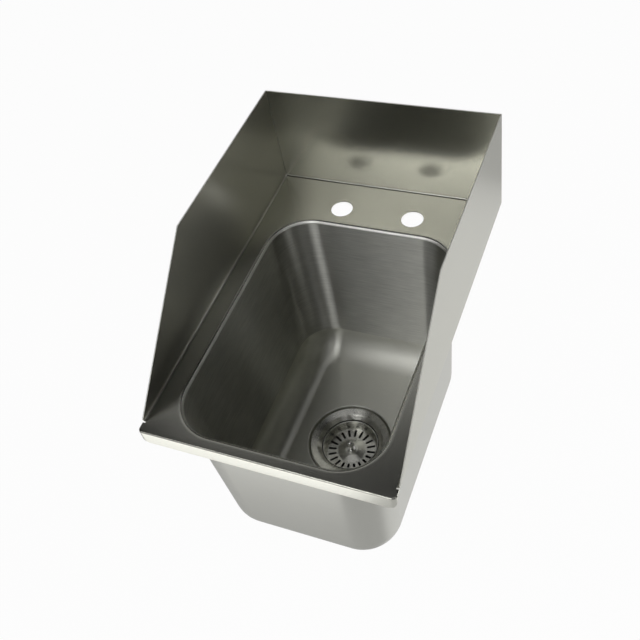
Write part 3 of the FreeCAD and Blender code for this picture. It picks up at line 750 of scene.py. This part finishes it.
inner_x, inner_y = DECK_SIDE - SHEET, DECK_BACK - SHEET
tip_y = DECK_FRONT + SPLASH_SETBACK
kink_y = DECK_BACK - SPLASH_FULL
rise = SPLASH_HEIGHT - BEND_RADIUS - TIP_HEIGHT
taper = Vector((0, -rise, kink_y - tip_y)).normalized()
for name, sign in (("right", 1), ("left", -1)):
    bm = bent_sheet(DECK_BACK - tip_y)
    bmesh.ops.translate(bm, verts=bm.verts, vec=(inside, tip_y, TOP))
    cut_sheet(bm, (0, kink_y, TOP + SPLASH_HEIGHT), taper)
    cut_sheet(bm, (inside + MITRE_GAP, back, 0), (-1, 1, 0))
    if sign < 0:
        bmesh.ops.scale(bm, vec=(-1, 1, 1), verts=bm.verts)
        bmesh.ops.reverse_faces(bm, faces=bm.faces)
    ease_edges(bm, SPLASH_EASE, angle=40)
    sheared(bm, 0)
    finish_piece(
        bm, name + "_splash_sheet", [side_finish, edge_highlight_finish, seam_shade_finish],
        "sink", [name + "_side_splash"],
    )

bm = bent_sheet(2 * DECK_SIDE)
bmesh.ops.rotate(bm, verts=bm.verts, cent=(0, 0, 0), matrix=Matrix.Rotation(math.pi / 2, 3, "Z"))
bmesh.ops.translate(bm, verts=bm.verts, vec=(DECK_SIDE, back, TOP))
for sign in (-1, 1):
    cut_sheet(bm, (sign * (inside - MITRE_GAP), back, 0), (sign, -1, 0))
ease_edges(bm, SPLASH_EASE, angle=40)
sheared(bm, 1)
finish_piece(
    bm, "back_splash_sheet", [back_finish, edge_highlight_finish, seam_shade_finish],
    "sink", ["back_splash"],
)

# %% [markdown]
# ## The drain
# Flange, cup and basket are formed sheet, so each starts as a bare line of corners. Spun round
# the axis it becomes a surface, a bevel turns its corners into bends, and the sheet's thickness
# comes last. The basket's slots are cut into one small sector, which is then copied round.


# %% Spun surfaces
def spun(corners, steps):
    """Surface of revolution about Z through (radius, height) corners in millimetres."""
    surface = bmesh.new()
    line = [surface.verts.new((r * MM, 0, z * MM)) for r, z in corners]
    for first, second in zip(line, line[1:]):
        surface.edges.new((first, second))
    bmesh.ops.spin(
        surface, geom=surface.verts[:] + surface.edges[:], cent=(0, 0, 0), axis=(0, 0, 1),
        angle=2 * math.pi, steps=steps, use_merge=True,
    )
    bmesh.ops.remove_doubles(surface, verts=surface.verts, dist=1e-7)
    return surface


def bend_rings(surface, radius, angle=8):
    """Rounds the rings where a spun sheet turns."""
    least = math.radians(angle)
    rings = [e for e in surface.edges if e.is_manifold and e.calc_face_angle() > least]
    rings = [e for e in rings if abs(e.verts[0].co.z - e.verts[1].co.z) < 1e-6]
    rings = [e for e in rings if abs(e.verts[0].co.xy.length - e.verts[1].co.xy.length) < 1e-6]
    bmesh.ops.bevel(
        surface, geom=rings, offset=radius, offset_type="OFFSET", affect="EDGES",
        segments=4, profile=0.5, material=-1, clamp_overlap=True,
    )


def turned_solid(corners, steps=72, ease=0.25):
    """Closed ring or plug turned from (radius, height) corners in millimetres, edges broken."""
    solid = spun(corners + corners[:1], steps)
    bmesh.ops.recalc_face_normals(solid, faces=solid.faces)
    ease_edges(solid, ease * MM)
    return solid


# From here on, the drain's radii and heights are in millimetres.
FLOOR_Z = FLOOR / MM
SEAT_Z = FLOOR_Z - 7
LIP_Z = FLOOR_Z - 1.2
SHOULDER_Z = FLOOR_Z - 3.6
MOUTH_Z = FLOOR_Z - 8.6
CUP_SHADE_Z = FLOOR_Z - 8.9
CUP_Z = FLOOR_Z - 42
FLANGE_RADIUS = 57.5
SHOULDER_RADIUS = 47.5
CUP_RADIUS = 41.6
CUP_OUTSIDE = 43.0
OUTLET_BORE = 18.0
DRAIN_SHEET = 1.2
DRAIN_BEND = 0.9
DRAIN_STEPS = 120

bm = spun([
    (FLANGE_RADIUS, SEAT_Z), (FLANGE_RADIUS, LIP_Z), (SHOULDER_RADIUS, SHOULDER_Z),
    (CUP_RADIUS, MOUTH_Z), (CUP_RADIUS, CUP_Z), (OUTLET_BORE, CUP_Z),
], DRAIN_STEPS)
bend_rings(bm, DRAIN_BEND * MM)
bmesh.ops.recalc_face_normals(bm, faces=bm.faces)
dish = [f for f in bm.faces if 0.049 < f.calc_center_median().xy.length < 0.055]
if dish[0].normal.z < 0:
    bmesh.ops.reverse_faces(bm, faces=bm.faces)
bmesh.ops.solidify(bm, geom=bm.faces[:], thickness=DRAIN_SHEET * MM)
# Below the basket's rim the cup's faces take the near-black finish, a painted shade of its depth.
for face in bm.faces:
    place = face.calc_center_median()
    if place.xy.length < CUP_OUTSIDE * MM and place.z < CUP_SHADE_Z * MM:
        face.material_index = 1
finish_piece(
    bm, "drain_dish_and_cup", [drain_turned, cup_shade_finish],
    "sink", ["drain_body"], crease=50,
)

# %% Strainer basket
BASKET_RIM = FLOOR_Z - 9
BASKET_FLOOR = BASKET_RIM - 17
BASKET_EDGE = 40.3
BASKET_WALL = 39.0
BASKET_SINK = 0.4
BASKET_FOOT = 37.0
BASKET_SHEET = 0.9
BASKET_BEND = 0.8
CROWN_RADIUS = 20.0
CROWN_FLAT = 9.0
CROWN_HOLE = 4.05
CROWN_RISE = 2.5
SLOTS = 20
SECTOR_STEPS = 6
SLOT_MIDDLE = 29.0
SLOT_LENGTH = 12.6
SLOT_WIDTH = 3.4

rim_z = BASKET_RIM - BASKET_SINK
bm = spun(
    [(BASKET_EDGE, rim_z), (BASKET_WALL, rim_z), (BASKET_FOOT, BASKET_FLOOR)], SLOTS * SECTOR_STEPS
)
CROWN_Z = BASKET_FLOOR + CROWN_RISE
crown = [(CROWN_RADIUS, BASKET_FLOOR), (CROWN_FLAT, CROWN_Z), (CROWN_HOLE, CROWN_Z)]
line = [bm.verts.new((r * MM, 0, z * MM)) for r, z in crown]
wire = [bm.edges.new(pair) for pair in zip(line, line[1:])]
bmesh.ops.spin(
    bm, geom=line + wire, cent=(0, 0, 0), axis=(0, 0, 1), angle=2 * math.pi,
    steps=SLOTS * SECTOR_STEPS, use_merge=True,
)
bmesh.ops.remove_doubles(bm, verts=bm.verts, dist=1e-7)
wall_faces = set(bm.faces)

arcs = []
for radius in (CROWN_RADIUS, BASKET_FOOT):
    start = bm.verts.new((radius * MM, 0, BASKET_FLOOR * MM))
    arc = bmesh.ops.spin(
        bm, geom=[start], cent=(0, 0, 0), axis=(0, 0, 1), angle=2 * math.pi / SLOTS,
        steps=SECTOR_STEPS,
    )
    arcs.append((start, [g for g in arc["geom_last"] if isinstance(g, bmesh.types.BMVert)][0]))
bm.edges.new((arcs[0][0], arcs[1][0]))
bm.edges.new((arcs[0][1], arcs[1][1]))
slot = bmesh.ops.create_grid(bm, x_segments=1, y_segments=1, size=0.5)["verts"]
bmesh.ops.scale(bm, vec=(SLOT_LENGTH * MM, SLOT_WIDTH * MM, 1), verts=slot)
bmesh.ops.translate(bm, vec=(SLOT_MIDDLE * MM, 0, BASKET_FLOOR * MM), verts=slot)
half_step = Matrix.Rotation(math.pi / SLOTS, 3, "Z")
bmesh.ops.rotate(bm, verts=slot, cent=(0, 0, 0), matrix=half_step)
bmesh.ops.bevel(
    bm, geom=slot, offset=0.499 * SLOT_WIDTH * MM, offset_type="OFFSET", affect="VERTICES",
    segments=6, profile=0.5, material=-1, clamp_overlap=False,
)
bmesh.ops.delete(bm, geom=[f for f in bm.faces if f not in wall_faces], context="FACES_ONLY")
outline = [e for e in bm.edges if e.is_wire]
bmesh.ops.triangle_fill(bm, edges=outline, use_beauty=True, normal=(0, 0, 1))
sector = [f for f in bm.faces if f not in wall_faces]
sector_edges = list({e for f in sector for e in f.edges})
sector_verts = list({v for f in sector for v in f.verts})
bmesh.ops.spin(
    bm, geom=sector + sector_edges + sector_verts, cent=(0, 0, 0), axis=(0, 0, 1),
    angle=2 * math.pi * (SLOTS - 1) / SLOTS, steps=SLOTS - 1, use_duplicate=True,
)
bmesh.ops.remove_doubles(bm, verts=bm.verts, dist=2e-6)
bmesh.ops.recalc_face_normals(bm, faces=bm.faces)
flat = max(bm.faces, key=lambda f: f.calc_area() * abs(f.normal.z))
if flat.normal.z < 0:
    bmesh.ops.reverse_faces(bm, faces=bm.faces)
bend_rings(bm, BASKET_BEND * MM, 5)
bmesh.ops.solidify(bm, geom=bm.faces[:], thickness=BASKET_SHEET * MM)
finish_piece(
    bm, "basket_sheet", [basket_finish], "basket", ["strainer_basket"], crease=50
)

# %% Lift post
COLLAR_Z = CROWN_Z + 0.3
NECK_Z = COLLAR_Z + 2.5
BALL_Z = NECK_Z + 11.7
STOPPER_Z = CUP_Z + 6
PIN_END = CUP_Z - 14
LEDGE_Z = CROWN_Z - BASKET_SHEET
PIN_RADIUS = 3
LEDGE_RADIUS = 7
SHANK_RADIUS = 4
COLLAR_RADIUS = 6
BALL_RADIUS = 5.8
POST_STEPS = 48

bm = spun([
    (0, PIN_END), (PIN_RADIUS, PIN_END), (PIN_RADIUS, STOPPER_Z), (LEDGE_RADIUS, STOPPER_Z),
    (LEDGE_RADIUS, LEDGE_Z), (SHANK_RADIUS, LEDGE_Z), (SHANK_RADIUS, COLLAR_Z),
    (COLLAR_RADIUS, COLLAR_Z), (COLLAR_RADIUS, NECK_Z), (PIN_RADIUS, NECK_Z), (PIN_RADIUS, BALL_Z),
    (0, BALL_Z),
], POST_STEPS)
bmesh.ops.recalc_face_normals(bm, faces=bm.faces)
ease_edges(bm, 0.4 * MM, 3)
ball = bmesh.ops.create_uvsphere(
    bm, u_segments=POST_STEPS, v_segments=POST_STEPS // 2, radius=BALL_RADIUS * MM
)["verts"]
bmesh.ops.translate(bm, verts=ball, vec=(0, 0, BALL_Z * MM))
finish_piece(bm, "lift_post", [post_bright], "lift_post", ["basket_post"])

# %% [markdown]
# ## What holds the drain
# Under the bowl a big ring nut draws the drain down on a gasket, and a coupling nut holds the
# tailpiece. Threads are rings here: cut as grooves they look right at this size, and a helix
# would only add faces. The nut's lugs are pulled out of its own rim.


# %% Threads
def threaded(radius, low, high, pitch, depth):
    """Corners of a thread's outline, from low to high, in millimetres."""
    count = int((high - low) / pitch)
    corners = []
    for number in range(count):
        z = low + number * pitch
        corners += [(radius - depth, z), (radius, z + 0.5 * pitch)]
    return corners + [(radius - depth, low + count * pitch)]


OUTLET_END = CUP_Z - 16
OUTLET_TOP = CUP_Z - DRAIN_SHEET
THREAD_TOP = CUP_Z - 3
OUTLET_RADIUS = 23.6
THREAD_EASE = 0.2
RING_STEPS = 72

outlet = [(OUTLET_BORE, OUTLET_TOP), (OUTLET_BORE, OUTLET_END)]
outlet += threaded(OUTLET_RADIUS, OUTLET_END, THREAD_TOP, 2.0, 0.7)
outlet += [(OUTLET_RADIUS - THREAD_EASE, OUTLET_TOP)]
bm = spun(outlet + outlet[:1], RING_STEPS)
bmesh.ops.recalc_face_normals(bm, faces=bm.faces)
finish_piece(
    bm, "threaded_outlet", [drain_turned], "sink", ["drain_outlet"], crease=25
)

# %% Gasket, ring and lock nut
SEAT_UNDER = SEAT_Z - 1.2
GASKET_Z = SEAT_UNDER - 3
RING_Z = GASKET_Z - 1
NUT_Z = RING_Z - 9
GASKET_BORE = 46.5
CLAMP_BORE = 43
CLAMP_RADIUS = 55
NUT_RADIUS = 50
LUGS = 6
LUG_REACH = 5


def flat_ring(bore, radius, low, high, steps, ease):
    """Plain ring between two heights, in millimetres."""
    return turned_solid([(bore, low), (radius, low), (radius, high), (bore, high)], steps, ease)


bm = flat_ring(GASKET_BORE, CLAMP_RADIUS, GASKET_Z, SEAT_UNDER, 96, 0.5)
finish_piece(bm, "rubber_gasket", [rubber], "sink", ["drain_gasket"])
bm = flat_ring(CLAMP_BORE, CLAMP_RADIUS, RING_Z, GASKET_Z, 96, 0.1)
finish_piece(bm, "fibre_ring", [fibre], "sink", ["friction_ring"])

nut = [(CLAMP_BORE, NUT_Z), (NUT_RADIUS, NUT_Z), (NUT_RADIUS, RING_Z), (CLAMP_BORE, RING_Z)]
bm = spun(nut + nut[:1], DRAIN_STEPS)
bmesh.ops.recalc_face_normals(bm, faces=bm.faces)
for number in range(LUGS):
    angle = 2 * math.pi * number / LUGS
    out = Vector((math.cos(angle), math.sin(angle), 0))
    grip = [f for f in bm.faces if f.normal.dot(out) > 0.993]
    grip = [f for f in grip if f.calc_center_median().dot(out) > (NUT_RADIUS - 1) * MM]
    pulled = bmesh.ops.extrude_face_region(bm, geom=grip)["geom"]
    bmesh.ops.delete(bm, geom=grip, context="FACES_ONLY")
    tops = [g for g in pulled if isinstance(g, bmesh.types.BMVert)]
    bmesh.ops.translate(bm, verts=tops, vec=out * LUG_REACH * MM)
bmesh.ops.recalc_face_normals(bm, faces=bm.faces)
ease_edges(bm, 0.6 * MM)
finish_piece(bm, "ring_nut", [cast], "sink", ["lock_nut"])

# %% Coupling nut
TAIL_TOP = OUTLET_END - 2
FLANGE_UNDER = TAIL_TOP - 1.5
COUPLING_LOW = FLANGE_UNDER - 2
COUPLING_HIGH = OUTLET_END + 12
COUPLING_SIDES = 8
COUPLING_BORE = 23.8
COUPLING_WALL = 4.5
TAIL_BORE = 19.25

bm = bmesh.new()
across = (COUPLING_BORE + COUPLING_WALL) / math.cos(math.pi / COUPLING_SIDES) * MM
prism = bmesh.ops.create_cone(
    bm, cap_ends=False, segments=COUPLING_SIDES, radius1=across, radius2=across,
    depth=(COUPLING_HIGH - COUPLING_LOW) * MM,
)["verts"]
half_side = Matrix.Rotation(math.pi / COUPLING_SIDES, 3, "Z")
bmesh.ops.rotate(bm, verts=prism, cent=(0, 0, 0), matrix=half_side)
bmesh.ops.translate(bm, verts=prism, vec=(0, 0, 0.5 * (COUPLING_HIGH + COUPLING_LOW) * MM))
loops = []
for z in (COUPLING_LOW, COUPLING_HIGH):
    loops.append([e for e in bm.edges if all(abs(v.co.z - z * MM) < 1e-6 for v in e.verts)])
bore = [
    (TAIL_BORE, COUPLING_LOW), (TAIL_BORE, FLANGE_UNDER),
    (COUPLING_BORE, FLANGE_UNDER), (COUPLING_BORE, COUPLING_HIGH),
]
known = set(bm.edges)
line = [bm.verts.new((r * MM, 0, z * MM)) for r, z in bore]
wire = [bm.edges.new(pair) for pair in zip(line, line[1:])]
bmesh.ops.spin(
    bm, geom=line + wire, cent=(0, 0, 0), axis=(0, 0, 1), angle=2 * math.pi, steps=64,
    use_merge=True,
)
bmesh.ops.remove_doubles(bm, verts=bm.verts, dist=1e-7)
for loop, z in zip(loops, (COUPLING_LOW, COUPLING_HIGH)):
    ring = [e for e in bm.edges if e not in known and e.is_boundary]
    ring = [e for e in ring if abs(e.verts[0].co.z - z * MM) < 1e-6]
    bmesh.ops.bridge_loops(bm, edges=loop + ring)
bmesh.ops.recalc_face_normals(bm, faces=bm.faces)
outer = [e for e in bm.edges if e.is_manifold and e.calc_face_angle() > math.radians(30)]
outer = [e for e in outer if min(v.co.xy.length for v in e.verts) > 0.025]
bmesh.ops.bevel(
    bm, geom=outer, offset=0.7 * MM, offset_type="OFFSET", affect="EDGES",
    segments=2, profile=0.5, material=-1, clamp_overlap=True,
)
finish_piece(bm, "tailpiece_nut", [cast], "sink", ["coupling_nut"], crease=30)

# %% Tailpiece and its washers
TAIL_END = TAIL_TOP - 101.6
NECK_END = COUPLING_LOW - 1
TAIL_INSIDE = 17.85
TAIL_NECK = 18.75
TAIL_RADIUS = 19.05
STOPPER_RADIUS = 25
STOPPER_CHAMFER = 1.5
STOPPER_NUT = 7.5
STOPPER_NUT_Z = CUP_Z - 3.5

bm = turned_solid([
    (TAIL_INSIDE, TAIL_TOP), (OUTLET_RADIUS, TAIL_TOP), (OUTLET_RADIUS, FLANGE_UNDER),
    (TAIL_NECK, FLANGE_UNDER), (TAIL_NECK, NECK_END), (TAIL_RADIUS, NECK_END),
    (TAIL_RADIUS, TAIL_END), (TAIL_INSIDE, TAIL_END),
], 96, 0.12)
finish_piece(bm, "tail_tube", [tail_bright], "sink", ["tailpiece"])
bm = flat_ring(OUTLET_BORE, OUTLET_RADIUS, TAIL_TOP, OUTLET_END, RING_STEPS, 0.3)
finish_piece(bm, "tail_washer", [rubber], "sink", ["tailpiece_washer"])
bm = turned_solid([
    (PIN_RADIUS, CUP_Z), (STOPPER_RADIUS - STOPPER_CHAMFER, CUP_Z),
    (STOPPER_RADIUS, CUP_Z + STOPPER_CHAMFER), (STOPPER_RADIUS, STOPPER_Z), (PIN_RADIUS, STOPPER_Z),
], RING_STEPS, 0.4)
finish_piece(bm, "stopper_disc", [rubber], "lift_post", ["basket_stopper"])
bm = flat_ring(PIN_RADIUS, STOPPER_NUT, STOPPER_NUT_Z, CUP_Z, POST_STEPS, 0.4)
finish_piece(bm, "stopper_ring_nut", [post_bright], "lift_post", ["stopper_nut"])

# %% [markdown]
# ## Hold-down clips
# Four studs are welded under the deck, each with a clamp strip, a washer and a nut. They are
# flat-sided little parts whose CAD shape is right, so only the round studs are rebuilt, with
# their threads, and the rest of the nodes get the plated finish.

# %% Studs
STUD_X = 139 * MM
STUD_Y = 100 * MM
STUD_RADIUS = 3.0
STUD_LENGTH = 55

shank = [(0, -STUD_LENGTH)]
shank += threaded(STUD_RADIUS, 0.5 - STUD_LENGTH, -8, 1.0, 0.35)
shank += [(STUD_RADIUS, -7), (STUD_RADIUS, 0), (0, 0)]
bm = spun(shank, 24)
bmesh.ops.recalc_face_normals(bm, faces=bm.faces)
one = bm.verts[:] + bm.edges[:] + bm.faces[:]
places = [(sx * STUD_X, sy * STUD_Y, 0) for sx in (-1, 1) for sy in (-1, 1)]
for place in places[1:]:
    copy = bmesh.ops.duplicate(bm, geom=one)["geom"]
    ends = [g for g in copy if isinstance(g, bmesh.types.BMVert)]
    bmesh.ops.translate(bm, verts=ends, vec=place)
first_verts = [g for g in one if isinstance(g, bmesh.types.BMVert)]
bmesh.ops.translate(bm, verts=first_verts, vec=places[0])
finish_piece(bm, "welded_studs", [plated], "sink", ["clip_studs"], crease=25)

# %% Finishes of the CAD nodes that stay
CAD_FINISHES = {"flange_seal": putty, "drain_spider": drain_turned}
for spot in ("left_front", "left_rear", "right_front", "right_rear"):
    for part in ("bracket", "washer", "nut"):
        CAD_FINISHES[spot + "_clip_" + part] = plated
for name, finish in CAD_FINISHES.items():
    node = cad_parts[name]
    for slot in node.material_slots:
        slot.material = finish
    if not node.material_slots:
        node.data.materials.append(finish)
print(len(CAD_FINISHES), "CAD nodes keep their shape")
